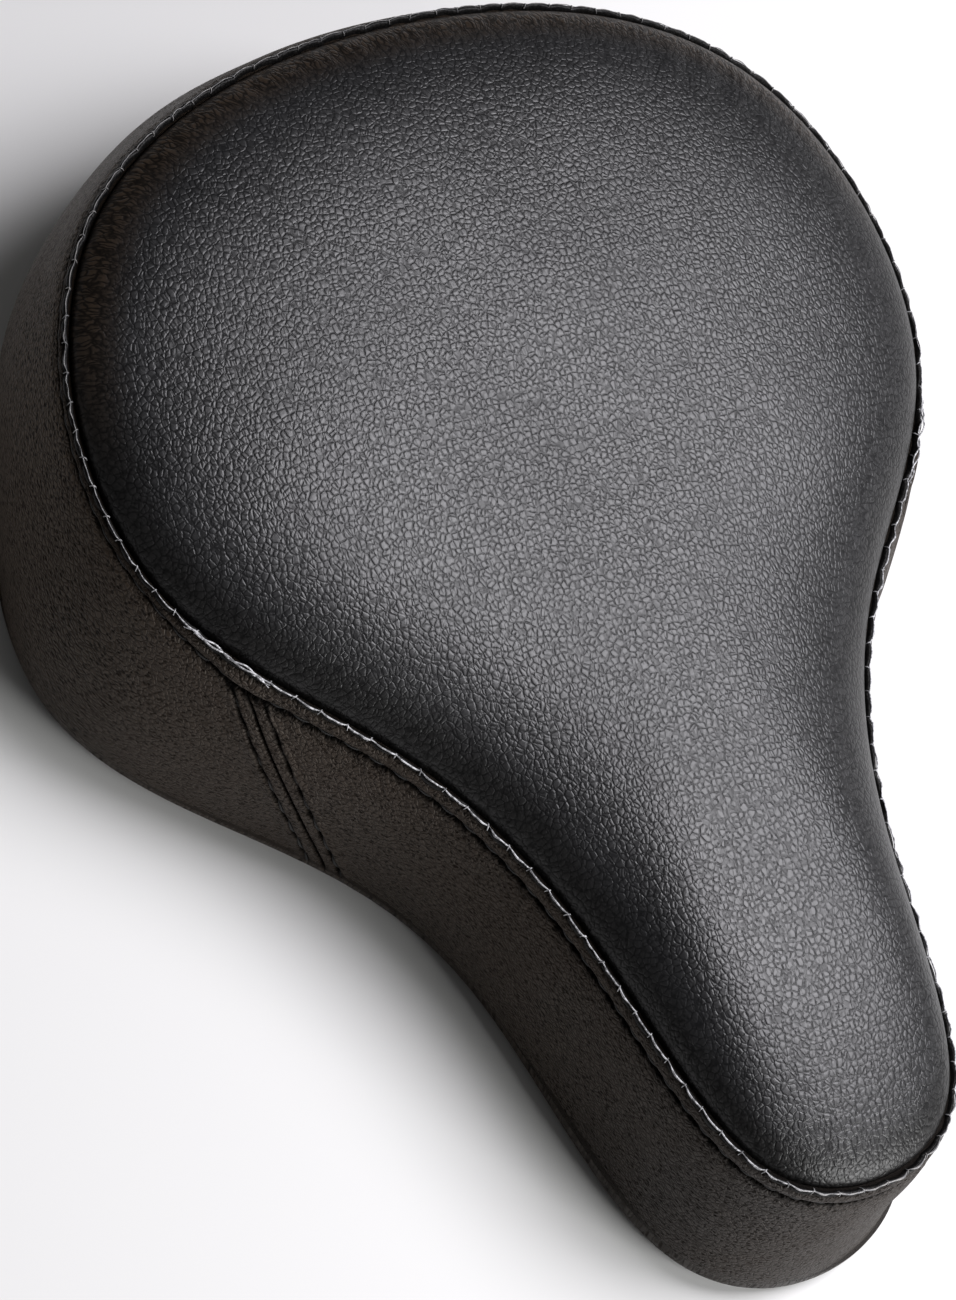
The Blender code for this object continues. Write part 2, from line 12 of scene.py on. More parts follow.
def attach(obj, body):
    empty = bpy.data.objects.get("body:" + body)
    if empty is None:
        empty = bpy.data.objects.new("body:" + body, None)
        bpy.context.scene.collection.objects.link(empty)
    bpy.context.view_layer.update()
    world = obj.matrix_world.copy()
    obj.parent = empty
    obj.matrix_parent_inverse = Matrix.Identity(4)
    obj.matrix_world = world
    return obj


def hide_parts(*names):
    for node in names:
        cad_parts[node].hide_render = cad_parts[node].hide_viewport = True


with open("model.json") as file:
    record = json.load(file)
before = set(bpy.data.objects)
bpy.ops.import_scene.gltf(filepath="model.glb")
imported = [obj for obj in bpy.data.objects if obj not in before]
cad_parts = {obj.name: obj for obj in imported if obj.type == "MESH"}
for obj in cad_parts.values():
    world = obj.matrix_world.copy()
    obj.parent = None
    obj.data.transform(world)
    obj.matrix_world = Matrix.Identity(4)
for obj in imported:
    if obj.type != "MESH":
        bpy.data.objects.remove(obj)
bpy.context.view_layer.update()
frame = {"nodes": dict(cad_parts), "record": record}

# ---------------------------------------------------------------- shape, as in part.py
SEAM_HALF = [
    (0.0, -0.162), (0.032, -0.147), (0.049, -0.082), (0.078, -0.020),
    (0.125, 0.040), (0.108, 0.126), (0.0, 0.162),
]
HEM_HALF = [
    (0.0, -0.174), (0.040, -0.152), (0.057, -0.070), (0.092, -0.018),
    (0.133, 0.035), (0.101, 0.116), (0.0, 0.169),
]
CENTRE_SHIFT = -0.0018
SEAM_HEIGHT_NOSE = 0.050
SEAM_HEIGHT_MIDDLE = 0.058
SEAM_HEIGHT_REAR = 0.084
WALL_SWELL_REAR = 0.011
CROWN_HEIGHT = 0.020
CROWN_FLATNESS = 3.5
CROWN_EDGE = 0.62
CROWN_CENTRE_Y = 0.020
SIDE_SEAM_TOP = 0.240
SIDE_SEAM_HEM = 0.188
SIDE_SEAM_CURVE = 1.33

# ---------------------------------------------------------------- sewing
EDGE_STITCHES = 126
TOPSTITCH_DROP = 0.0043
REAR_STRIP_LOSS = 0.46
SIDE_STITCH_PITCH = 0.0058
SIDE_STITCH_OFFSET = 0.0041
SIDE_STITCHES = 12
LOWEST_STITCH = 0.004
SEAM_BELL = 0.12
SEAM_LEAN = 0.83


def closed_curve(half_outline, samples=60):
    """A dense smooth loop through the outline and its mirror image, with the length along it."""
    knots = np.array(half_outline + [(-x, y) for x, y in half_outline[-2:0:-1]])
    count = len(knots)
    following = np.roll(knots, -1, axis=0)
    step = np.sqrt(np.linalg.norm(following - knots, axis=1))
    before = np.roll(step, 1)
    system = np.zeros((count, count))
    for i in range(count):
        system[i, (i - 1) % count] += before[i]
        system[i, i] += 2 * (before[i] + step[i])
        system[i, (i + 1) % count] += step[i]
    slope = (following - knots) / step[:, None]
    bend = np.linalg.solve(system, 6 * (slope - np.roll(slope, 1, axis=0)))
    loop = []
    for i in range(count):
        u = np.linspace(0.0, 1.0, samples, endpoint=False)[:, None]
        weight = step[i] ** 2 / 6
        loop.append(
            knots[i] * (1 - u)
            + following[i] * u
            + weight * ((1 - u) ** 3 - (1 - u)) * bend[i]
            + weight * (u**3 - u) * bend[(i + 1) % count]
        )
    loop = np.vstack(loop + [knots[:1]])
    loop[:, 1] += CENTRE_SHIFT
    length = np.concatenate([[0.0], np.cumsum(np.linalg.norm(np.diff(loop, axis=0), axis=1))])
    return loop, length


SEAM_LOOP = closed_curve(SEAM_HALF)
HEM_LOOP = closed_curve(HEM_HALF)
SEAM_LENGTH = SEAM_LOOP[1][-1]


def along(curve, shares):
    """Points at the given shares of the way round a loop, and the outward normals there."""
    loop, length = curve
    shares = np.asarray(shares) % 1.0

    def at(position):
        position = (position % 1.0) * length[-1]
        return np.stack([np.interp(position, length, loop[:, k]) for k in (0, 1)], axis=-1)

    reach = 0.004
    ahead = at(shares + reach) - at(shares - reach)
    normal = np.stack([ahead[..., 1], -ahead[..., 0]], axis=-1)
    return at(shares), normal / np.linalg.norm(normal, axis=-1, keepdims=True)


def share_of_length(y):
    nose = SEAM_HALF[0][1] + CENTRE_SHIFT
    rear = SEAM_HALF[-1][1] + CENTRE_SHIFT
    return (y - nose) / (rear - nose)


def seam_height(y):
    u = share_of_length(y)
    sag = SEAM_HEIGHT_MIDDLE - (SEAM_HEIGHT_NOSE + SEAM_HEIGHT_REAR) / 2
    return SEAM_HEIGHT_NOSE + (SEAM_HEIGHT_REAR - SEAM_HEIGHT_NOSE) * u + 4 * sag * u * (1 - u)


def wall_points(shares, inset, height):
    """Points a given inset behind the outer wall, at a height above the hem."""
    seam, _ = along(SEAM_LOOP, shares)
    hem, normal = along(HEM_LOOP, shares)
    rise = np.clip(height / seam_height(seam[..., 1]), 0.0, 1.0)
    swell = WALL_SWELL_REAR * share_of_length(seam[..., 1]) * np.sin(math.pi * rise)
    plan = hem + (seam - hem) * rise[..., None] + normal * (swell - inset)[..., None]
    return np.concatenate([plan, np.broadcast_to(height, rise.shape)[..., None]], axis=-1)


def smooth(low, high, value):
    t = np.clip((value - low) / (high - low), 0.0, 1.0)
    return t * t * (3 - 2 * t)


def dip(value, centre, width):
    """One at the centre, falling smoothly to nothing a width away."""
    return np.exp(-(((value - centre) / width) ** 2))


class Waves:
    """Smooth repeatable noise round the loop, from sines with whole numbers of periods."""

    def __init__(self, seed, low, high, count=24):
        draw = np.random.default_rng(seed)
        self.turns = draw.integers(low, high, count)
        self.phase = draw.uniform(0, 2 * math.pi, count)
        self.drift = draw.uniform(-1.0, 1.0, count)

    def __call__(self, shares, across=0.0):
        total = 0.0
        for turns, phase, drift in zip(self.turns, self.phase, self.drift):
            total = total + np.sin(2 * math.pi * turns * shares + phase + drift * across)
        return total / math.sqrt(len(self.turns) / 2)


# ---------------------------------------------------------------- mesh helpers
def new_object(name, points, faces, finish, smooth_angle=60):
    mesh = bpy.data.meshes.new(name)
    faces = [[int(corner) for corner in face] for face in faces]
    mesh.from_pydata(np.asarray(points).reshape(-1, 3).tolist(), [], faces)
    mesh.validate()
    built = bpy.data.objects.new(name, mesh)
    bpy.context.collection.objects.link(built)
    mesh.materials.append(finish)
    mesh.shade_smooth()
    mesh.set_sharp_from_angle(angle=math.radians(smooth_angle))
    return built


def grid_faces(rows, columns, wrap_rows=False, wrap_columns=False):
    """Quads over a grid of points stored row by row."""
    r = np.arange(rows if wrap_rows else rows - 1)
    c = np.arange(columns if wrap_columns else columns - 1)
    r, c = (a.ravel() for a in np.meshgrid(r, c, indexing="ij"))
    r2 = (r + 1) % rows
    c2 = (c + 1) % columns
    return np.stack([r * columns + c, r * columns + c2, r2 * columns + c2, r2 * columns + c], axis=1)


def facing_out(points, faces):
    corners = np.asarray(points).reshape(-1, 3)[faces]
    volume = np.einsum("ij,ij->i", corners[:, 0], np.cross(corners[:, 1], corners[:, 2])).sum()
    volume += np.einsum("ij,ij->i", corners[:, 0], np.cross(corners[:, 2], corners[:, 3])).sum()
    return faces if volume > 0 else faces[:, ::-1]


def store(built, name, values):
    """Keeps a vector for each point, for a material to read."""
    layer = built.data.attributes.new(name, "FLOAT_VECTOR", "POINT")
    layer.data.foreach_set("vector", np.ascontiguousarray(values, np.float32).ravel())


def loop_place(shares, across):
    """Loop position as a point on a cylinder, so that it has no break: its axis runs across the loop."""
    radius = SEAM_LENGTH / (2 * math.pi)
    turn = 2 * math.pi * shares
    across = np.broadcast_to(across, turn.shape)
    return np.stack([radius * np.cos(turn), radius * np.sin(turn), across], axis=-1)


def tube(name, paths, radii, finish, sides=7):
    """One mesh of many round threads. Each path is (points, closed), with a radius for each point."""
    all_points = []
    all_faces = []
    start = 0
    for (path, closed), radius in zip(paths, radii):
        path = np.asarray(path)
        count = len(path)
        if closed:
            ahead = np.roll(path, -1, axis=0) - np.roll(path, 1, axis=0)
        else:
            ahead = np.gradient(path, axis=0)
        ahead /= np.linalg.norm(ahead, axis=1, keepdims=True)
        up = np.array([0.0, 0.0, 1.0]) if abs(ahead[:, 2]).mean() < 0.9 else np.array([1.0, 0.0, 0.0])
        side = np.cross(ahead, up)
        side /= np.linalg.norm(side, axis=1, keepdims=True)
        top = np.cross(side, ahead)
        turn = np.arange(sides) * 2 * math.pi / sides
        radius = np.broadcast_to(radius, (count,))[:, None, None]
        ring = path[:, None] + radius * (
            np.cos(turn)[None, :, None] * side[:, None] + np.sin(turn)[None, :, None] * top[:, None]
        )
        all_points.append(ring.reshape(-1, 3))
        faces = grid_faces(count, sides, wrap_rows=closed, wrap_columns=True) + start
        all_faces.extend(faces[:, ::-1].tolist())
        if not closed:
            all_faces.append([start + k for k in range(sides)])
            all_faces.append([start + (count - 1) * sides + k for k in range(sides)][::-1])
        start += count * sides
    return new_object(name, np.vstack(all_points), all_faces, finish)


# ---------------------------------------------------------------- materials
class Nodes:
    """A short way to build a material's node tree. Keys like in0 name a socket by its number."""

    def __init__(self, name):
        self.material = bpy.data.materials.new(name)
        self.material.use_nodes = True
        self.tree = self.material.node_tree
        self.shader = self.tree.nodes["Principled BSDF"]

    def add(self, kind, settings=None, **inputs):
        node = self.tree.nodes.new(kind)
        for key, value in (settings or {}).items():
            setattr(node, key, value)
        for key, value in inputs.items():
            self.feed(node, key, value)
        return node

    def feed(self, node, key, value):
        if key.startswith("in"):
            socket = node.inputs[int(key[2:])]
        else:
            socket = node.inputs[key.replace("_", " ")]
        if hasattr(value, "is_output"):
            self.tree.links.new(value, socket)
        else:
            socket.default_value = value

    def place(self):
        return self.add("ShaderNodeTexCoord").outputs["Object"]

    def axis(self, vector, name):
        return self.add("ShaderNodeSeparateXYZ", in0=vector).outputs[name]

    def times(self, a, b):
        return self.add("ShaderNodeMath", {"operation": "MULTIPLY"}, in0=a, in1=b).outputs[0]

    def plus(self, a, b):
        return self.add("ShaderNodeMath", {"operation": "ADD"}, in0=a, in1=b).outputs[0]

    def vector_math(self, operation, vector, **inputs):
        kind = {"operation": operation}
        return self.add("ShaderNodeVectorMath", kind, in0=vector, **inputs).outputs[0]

    def span(self, value, low, high, out_low=0.0, out_high=1.0):
        """A smooth step from one output to the other while the value goes from low to high."""
        kind = {"interpolation_type": "SMOOTHSTEP"}
        limits = {"From_Min": low, "From_Max": high, "To_Min": out_low, "To_Max": out_high}
        return self.add("ShaderNodeMapRange", kind, Value=value, **limits).outputs["Result"]

    def mix_colour(self, factor, first, second):
        node = self.tree.nodes.new("ShaderNodeMix")
        node.data_type = "RGBA"
        for index, value in ((0, factor), (6, first), (7, second)):
            if hasattr(value, "is_output"):
                self.tree.links.new(value, node.inputs[index])
            else:
                node.inputs[index].default_value = value if index == 0 else (*value, 1.0)
        return node.outputs[2]

    def noise(self, vector, scale, detail=3.0, roughness=0.5):
        shape = {"Scale": scale, "Detail": detail, "Roughness": roughness}
        return self.add("ShaderNodeTexNoise", Vector=vector, **shape).outputs["Fac"]

    def cells(self, vector, scale, feature="DISTANCE_TO_EDGE", randomness=1.0):
        shape = {"Scale": scale, "Randomness": randomness}
        node = self.add("ShaderNodeTexVoronoi", {"feature": feature}, Vector=vector, **shape)
        return node.outputs["Distance"]

    def stretch(self, vector, scale):
        return self.vector_math("MULTIPLY", vector, in1=scale)

    def offset(self, vector, field, amount):
        """The vector moved about by a noise field."""
        node = self.add("ShaderNodeTexNoise", Vector=vector, Scale=field, Detail=2.0)
        centred = self.vector_math("SUBTRACT", node.outputs["Color"], in1=(0.5, 0.5, 0.5))
        return self.vector_math("ADD", vector, in1=self.vector_math("SCALE", centred, Scale=amount))

    def attribute(self, name):
        return self.add("ShaderNodeAttribute", {"attribute_name": name}).outputs["Vector"]

    def bump(self, height, distance, strength=1.0):
        node = self.add("ShaderNodeBump", Height=height, Distance=distance, Strength=strength)
        return node.outputs["Normal"]

    def finish(self, **inputs):
        """Feeds the shader's sockets. A number set before a link is what the export reads there."""
        for key, value in inputs.items():
            self.feed(self.shader, key, (*value, 1.0) if isinstance(value, tuple) else value)
        return self.material


def top_leather():
    """Pebbled leather, drawn into fine wrinkles where the rear is gathered into the seam, with a painted
    shade along its edge.
    """
    n = Nodes("top_leather")
    place = n.place()
    edge = n.attribute("edge_place")
    inset = n.axis(edge, "Z")
    along_seat = n.axis(place, "Y")
    near_edge = n.span(inset, 0.002, 0.014, 1.0, 0.0)
    rear = n.span(along_seat, 0.06, 0.11)
    pull = n.span(rear, 0.0, 1.0, 0.20, 0.85)
    drawn_in = n.times(pull, n.span(inset, 0.004, 0.012, 1.0, 0.0))
    # pebbles, with longer and weaker creases that cross them
    pebbles = n.cells(n.offset(place, 300.0, 0.0011), 570.0, randomness=0.85)
    longer = n.cells(n.stretch(n.offset(place, 240.0, 0.0016), (1.0, 0.55, 1.0)), 520.0)
    grain = n.times(n.span(pebbles, 0.0, 0.20), 0.42)
    grain = n.plus(grain, n.times(n.span(pebbles, 0.0, 0.50), 0.28))
    grain = n.plus(grain, n.times(n.span(longer, 0.0, 0.16), 0.30))
    drawn = n.stretch(n.offset(edge, 220.0, 0.0040), (1.0, 1.0, 0.36))
    wrinkles = n.span(n.cells(drawn, 800.0), 0.0, 0.30)
    mixed = n.add("ShaderNodeMix", {"data_type": "FLOAT"}, in0=drawn_in, in2=grain, in3=wrinkles)
    grain = mixed.outputs[0]
    fine = n.noise(place, 2600.0, 3.0, 0.6)
    height = n.plus(grain, n.times(fine, 0.07))
    worn = n.span(n.noise(place, 26.0, 3.0), 0.35, 0.70)
    colour = n.mix_colour(grain, (0.0025, 0.0025, 0.003), (0.0065, 0.0065, 0.0075))
    colour = n.mix_colour(n.times(worn, 0.3), colour, (0.010, 0.010, 0.0115))
    # Along the edge the colour goes near-black: a painted shade where the top rolls down into the seam.
    # Round the rear it goes a lighter brown instead.
    brown = n.mix_colour(grain, (0.0030, 0.0018, 0.0010), (0.0380, 0.0240, 0.0135))
    black = n.mix_colour(grain, (0.0012, 0.0011, 0.0010), (0.0085, 0.0079, 0.0075))
    edge_colour = n.mix_colour(rear, black, brown)
    colour = n.mix_colour(n.times(near_edge, 0.85), colour, edge_colour)
    rough = n.plus(n.span(worn, 0.0, 1.0, 0.365, 0.39), n.times(fine, 0.05))
    shine = n.times(n.span(grain, 0.05, 0.75, 0.36, 0.66), n.span(near_edge, 0.0, 1.0, 1.0, 0.62))
    n.finish(Specular_IOR_Level=0.55)
    n.finish(Base_Color=colour, Roughness=rough, Specular_IOR_Level=shine)
    return n.finish(Normal=n.bump(height, 0.00013))


def side_leather():
    """The same hide, flatter and browner, with dark pores and painted shade round its stitches, and
    painted light: greyer across the nose, lighter brown round the rear.
    """
    n = Nodes("side_leather")
    place = n.place()
    edge = n.attribute("edge_place")
    dark = n.axis(n.attribute("stitch_dark"), "X")
    laid = n.stretch(n.offset(edge, 320.0, 0.0014), (1.0, 1.0, 1.7))
    creases = n.span(n.cells(laid, 640.0), 0.0, 0.24)
    dashes = n.stretch(n.offset(edge, 300.0, 0.0010), (0.62, 0.62, 1.25))
    pores = n.span(n.cells(dashes, 860.0, "F1"), 0.16, 0.42)
    folded = n.stretch(n.offset(edge, 90.0, 0.0060), (1.0, 1.0, 1.5))
    wrinkles = n.span(n.cells(folded, 330.0), 0.0, 0.16)
    gathered = n.span(n.noise(place, 14.0, 2.0), 0.42, 0.62)
    fine = n.noise(place, 2400.0, 3.0, 0.6)
    height = n.plus(n.times(creases, 0.42), n.times(fine, 0.12))
    height = n.plus(height, n.times(pores, 0.40))
    height = n.plus(height, n.times(n.times(wrinkles, gathered), 0.30))
    patches = n.span(n.noise(place, 22.0, 3.0), 0.35, 0.70)
    skin = n.times(pores, n.plus(n.times(creases, 0.55), 0.45))
    along_seat = n.axis(place, "Y")
    # Painted light in the colour: greyer and a little lighter across the nose, where the nose light
    # falls, and a lighter warm brown round the rear, standing in for warm light on it.
    past_nose = n.span(along_seat, -0.15, -0.09)
    skin_colour = n.mix_colour(past_nose, (0.0225, 0.0200, 0.0190), (0.0240, 0.0172, 0.0122))
    skin_colour = n.mix_colour(n.span(along_seat, 0.0, 0.10), skin_colour, (0.054, 0.0375, 0.0245))
    colour = n.mix_colour(skin, (0.0055, 0.0039, 0.0028), skin_colour)
    colour = n.mix_colour(n.times(patches, 0.3), colour, (0.030, 0.0200, 0.0138))
    # painted shade in the stitch grooves, round the needle holes and under the welt
    colour = n.mix_colour(dark, colour, (0.002, 0.0018, 0.0016))
    rough = n.plus(n.span(patches, 0.0, 1.0, 0.48, 0.56), n.times(fine, 0.05))
    shine = n.times(n.span(skin, 0.0, 1.0, 0.10, 0.34), n.span(dark, 0.0, 1.0, 1.0, 0.12))
    n.finish(Specular_Tint=(1.0, 0.91, 0.82), Specular_IOR_Level=0.28)
    n.finish(Base_Color=colour, Roughness=rough, Specular_IOR_Level=shine)
    return n.finish(Normal=n.bump(height, 0.00046))


def welt_leather():
    n = Nodes("welt_leather")
    place = n.place()
    creases = n.span(n.cells(n.offset(place, 500.0, 0.001), 900.0), 0.0, 0.25)
    fine = n.noise(place, 2600.0, 3.0, 0.6)
    height = n.plus(n.times(creases, 0.5), n.times(fine, 0.2))
    colour = n.mix_colour(creases, (0.003, 0.003, 0.003), (0.008, 0.0074, 0.0068))
    rough = n.span(fine, 0.3, 0.7, 0.36, 0.46)
    n.finish(Base_Color=colour, Roughness=rough, Specular_IOR_Level=0.12)
    return n.finish(Normal=n.bump(height, 0.00012, 0.8))


def thread(name, colour, rough, twist, dim_colour):
    """Twisted thread, in its dim colour round the rear and across the nose's tip. On the grey edge
    thread the grey is a painted highlight, dimmer there and broken into dark dashes along the twist.
    """
    n = Nodes(name)
    place = n.place()
    wave = n.noise(place, twist, 3.0, 0.7)
    fibres = n.noise(place, 5200.0, 2.0, 0.7)
    along_seat = n.axis(place, "Y")
    before_rear = n.span(along_seat, 0.02, 0.10, 1.0, 0.0)
    highlight_tone = n.mix_colour(n.times(before_rear, n.span(along_seat, -0.166, -0.145)), dim_colour, colour)
    shade = n.mix_colour(n.span(wave, 0.40, 0.62), tuple(c * 0.22 for c in colour), highlight_tone)
    height = n.plus(wave, n.times(fibres, 0.4))
    n.finish(Base_Color=shade, Roughness=n.span(fibres, 0.3, 0.7, rough - 0.05, rough + 0.08))
    return n.finish(Normal=n.bump(height, 0.00012, 0.8))


def painted_steel():
    n = Nodes("pan_paint")
    place = n.place()
    peel = n.noise(place, 420.0, 2.0, 0.5)
    scuffs = n.span(n.noise(n.stretch(place, (1.0, 6.0, 1.0)), 60.0, 6.0, 0.65), 0.60, 0.72)
    dust = n.span(n.noise(place, 30.0, 4.0), 0.40, 0.75)
    colour = n.mix_colour(n.times(scuffs, 0.35), (0.016, 0.016, 0.017), (0.075, 0.073, 0.070))
    colour = n.mix_colour(n.times(dust, 0.30), colour, (0.045, 0.041, 0.037))
    rough = n.plus(n.span(dust, 0.0, 1.0, 0.36, 0.55), n.times(scuffs, 0.12))
    return n.finish(Base_Color=colour, Roughness=rough, Normal=n.bump(peel, 0.00010, 0.35))


def zinc():
    n = Nodes("zinc_plate")
    place = n.place()
    brushed = n.noise(n.stretch(place, (1.0, 1.0, 9.0)), 700.0, 4.0, 0.6)
    bloom = n.span(n.noise(place, 120.0, 5.0, 0.6), 0.42, 0.66)
    colour = n.mix_colour(bloom, (0.60, 0.60, 0.59), (0.42, 0.42, 0.43))
    stain = n.span(n.noise(place, 45.0, 3.0), 0.55, 0.72, 0.0, 0.35)
    colour = n.mix_colour(stain, colour, (0.36, 0.31, 0.24))
    rough = n.plus(n.span(bloom, 0.0, 1.0, 0.26, 0.44), n.times(brushed, 0.10))
    n.finish(Base_Color=colour, Roughness=rough, Metallic=1.0)
    return n.finish(Normal=n.bump(brushed, 0.00004, 0.5))


def rivet_metal():
    n = Nodes("rivet_metal")
    place = n.place()
    scratches = n.noise(n.stretch(place, (1.0, 5.0, 1.0)), 900.0, 4.0, 0.6)
    colour = n.mix_colour(n.span(scratches, 0.35, 0.65), (0.70, 0.70, 0.72), (0.50, 0.50, 0.52))
    n.finish(Base_Color=colour, Roughness=n.span(scratches, 0.3, 0.7, 0.28, 0.46), Metallic=1.0)
    return n.finish(Normal=n.bump(scratches, 0.00003, 0.5))


def black_rubber():
    n = Nodes("black_rubber")
    place = n.place()
    grit = n.noise(place, 1500.0, 4.0, 0.65)
    bloom = n.span(n.noise(place, 60.0, 4.0), 0.40, 0.70)
    colour = n.mix_colour(n.times(bloom, 0.6), (0.018, 0.018, 0.018), (0.046, 0.045, 0.043))
    n.finish(Base_Color=colour, Roughness=n.span(bloom, 0.0, 1.0, 0.60, 0.78))
    return n.finish(Normal=n.bump(grit, 0.00008, 0.6))


def woven(name, colour, scale):
    n = Nodes(name)
    place = n.place()
    pattern = n.cells(place, scale, "F1", 0.2)
    shade = n.mix_colour(n.span(pattern, 0.1, 0.6), colour, tuple(c * 0.6 for c in colour))
    n.finish(Base_Color=shade, Roughness=n.span(n.noise(place, 300.0), 0.3, 0.7, 0.82, 0.95))
    return n.finish(Normal=n.bump(pattern, 0.0003, 0.6))


def moulded_nylon():
    n = Nodes("moulded_nylon")
    place = n.place()
    cloud = n.noise(place, 160.0, 3.0)
    colour = n.mix_colour(n.span(cloud, 0.35, 0.65), (0.72, 0.70, 0.62), (0.60, 0.57, 0.48))
    n.finish(Base_Color=colour, Roughness=n.span(cloud, 0.3, 0.7, 0.38, 0.52))
    return n.finish(Normal=n.bump(cloud, 0.00005, 0.4))


TOP_LEATHER = top_leather()
SIDE_LEATHER = side_leather()
WELT_LEATHER = welt_leather()
# the light grey of the edge thread is a painted highlight along the welt's crest, dimmer round the rear
# and across the nose's tip
EDGE_THREAD = thread("edge_thread_grey", (0.62, 0.62, 0.64), 0.30, 900.0, (0.25, 0.24, 0.23))
DARK_THREAD = thread("dark_thread", (0.005, 0.0045, 0.004), 0.65, 1500.0, (0.005, 0.0045, 0.004))


# ---------------------------------------------------------------- top cushion
TOP_COLUMNS = 1260
TOP_RINGS = 64
TOP_EDGE_INSET = 0.0021
RING_CROWDING = 1.9
CENTRE_SCALE = 0.015
TOP_WRINKLE = 0.00004
TOP_WAVE = 0.00008
TOP_DENT = 0.00014
LIP_SECTION = ((0.0000, 0.0012), (0.0003, 0.0026), (0.0022, 0.0030), (0.0120, 0.0010))
UNDERSIDE_SCALES = (0.75, 0.45, 0.10)
UNDERSIDE_DROP = 0.0016
CENTRE_ACROSS = 0.09


def dents(plan):
    """Gentle unevenness of the stuffing over the plan."""
    draw = np.random.default_rng(19)
    total = 0.0
    for _ in range(9):
        turn = draw.uniform(0, 2 * math.pi)
        length = draw.uniform(0.035, 0.080)
        across = (plan[:, 0] * math.cos(turn) + plan[:, 1] * math.sin(turn)) / length
        total = total + np.sin(2 * math.pi * across + draw.uniform(0, 6))
    return total / 3


def crown_height(scale):
    return CROWN_HEIGHT * (1 - scale**CROWN_FLATNESS) ** CROWN_EDGE


def make_top():
    """The crowned cover, with a rolled edge that dives behind the welt and a flat tucked underside."""
    shares = np.arange(TOP_COLUMNS) / TOP_COLUMNS
    seam, normal = along(SEAM_LOOP, shares)
    edge = seam - normal * TOP_EDGE_INSET
    centre = np.array([0.0, CROWN_CENTRE_Y])
    reach = np.linalg.norm(edge - centre, axis=1)
    steps = np.linspace(0.0, 1.0, TOP_RINGS)
    scales = 1 - steps**RING_CROWDING * (1 - CENTRE_SCALE)
    gather = Waves(11, 230, 330)
    folds = Waves(23, 60, 110)
    grid = []
    place = []
    for scale in scales:
        inset = reach * (1 - scale)
        plan = centre + (edge - centre) * scale
        height = seam_height(plan[:, 1]) + crown_height(scale)
        rear = smooth(0.02, 0.14, seam[:, 1]) + 0.15 * smooth(-0.12, -0.155, seam[:, 1])
        near = smooth(0.030, 0.004, inset) * smooth(0.0, 0.003, inset)
        height = height + TOP_WRINKLE * gather(shares, inset * 260) * near * rear
        wave = smooth(0.035, 0.008, inset) * smooth(0.0, 0.004, inset) * rear
        height = height + TOP_WAVE * folds(shares, inset * 120) * wave
        height = height + TOP_DENT * dents(plan) * smooth(0.0, 0.02, inset)
        grid.append(np.column_stack([plan, height]))
        place.append(loop_place(shares, inset))
    # under the lip: straight down beside the welt, then a tucked flat underside
    for inset, drop in LIP_SECTION:
        plan = edge - normal * inset
        grid.insert(0, np.column_stack([plan, seam_height(plan[:, 1]) - drop]))
        place.insert(0, loop_place(shares, 0.0))
    for scale in UNDERSIDE_SCALES:
        plan = centre + (edge - centre) * scale
        height = seam_height(plan[:, 1]) + crown_height(scale) - UNDERSIDE_DROP
        grid.insert(0, np.column_stack([plan, height]))
        place.insert(0, loop_place(shares, 0.0))
    grid = np.array(grid)
    place = np.array(place)
    rows = len(grid)
    faces = grid_faces(rows, TOP_COLUMNS, wrap_columns=True).tolist()
    points = grid.reshape(-1, 3)
    coordinates = place.reshape(-1, 3)
    for ring, turn in ((0, -1), (rows - 1, 1)):
        first = ring * TOP_COLUMNS
        middle = len(points)
        points = np.vstack([points, grid[ring].mean(axis=0)])
        coordinates = np.vstack([coordinates, [[0.0, 0.0, CENTRE_ACROSS]]])
        for i in range(TOP_COLUMNS):
            faces.append([first + i, first + (i + 1) % TOP_COLUMNS, middle][::turn])
    built = new_object("top_cushion", points, faces, TOP_LEATHER, 80)
    store(built, "edge_place", coordinates)
    return built


# ---------------------------------------------------------------- edge welt and its stitches
COLUMNS_PER_STITCH = 12
WELT_COLUMNS = EDGE_STITCHES * COLUMNS_PER_STITCH
SEAM_OVERLAP_NOSE = 0.010
SEAM_OVERLAP_REAR = 0.018
OVERLAP_SAMPLES = 60
OVERLAP_WEAVE = EDGE_STITCHES * 5


def strip_scale(shares):
    """The width of the strip under the welt against its width at the nose: less round the rear."""
    from_nose = np.minimum(shares % 1.0, 1.0 - shares % 1.0)
    return 1.0 - REAR_STRIP_LOSS * smooth(SIDE_SEAM_TOP + 0.003, SIDE_SEAM_TOP + 0.035, from_nose)


def stitch_phase(shares):
    """Share of the way from one edge stitch to the next."""
    return (shares * EDGE_STITCHES) % 1.0


def scallop(shares):
    """One midway between two stitches and nothing at a stitch."""
    return np.sin(math.pi * stitch_phase(shares)) ** 0.8


def seam_place(shares, outset, lift):
    """Points beside the top seam: a distance outside it and a height above it."""
    seam, normal = along(SEAM_LOOP, shares)
    height = seam_height(seam[..., 1]) + lift
    return np.concatenate([seam + normal * np.asarray(outset)[..., None], height[..., None]], axis=-1)


def seam_overlap(shares):
    """One where the side seam's layers end under the welt, nothing away from it."""
    half = np.minimum(shares % 1.0, 1.0 - shares % 1.0) - SIDE_SEAM_TOP
    from_nose = smooth(-SEAM_OVERLAP_NOSE, -0.3 * SEAM_OVERLAP_NOSE, half)
    return from_nose * smooth(SEAM_OVERLAP_REAR, 0.3 * SEAM_OVERLAP_REAR, half)


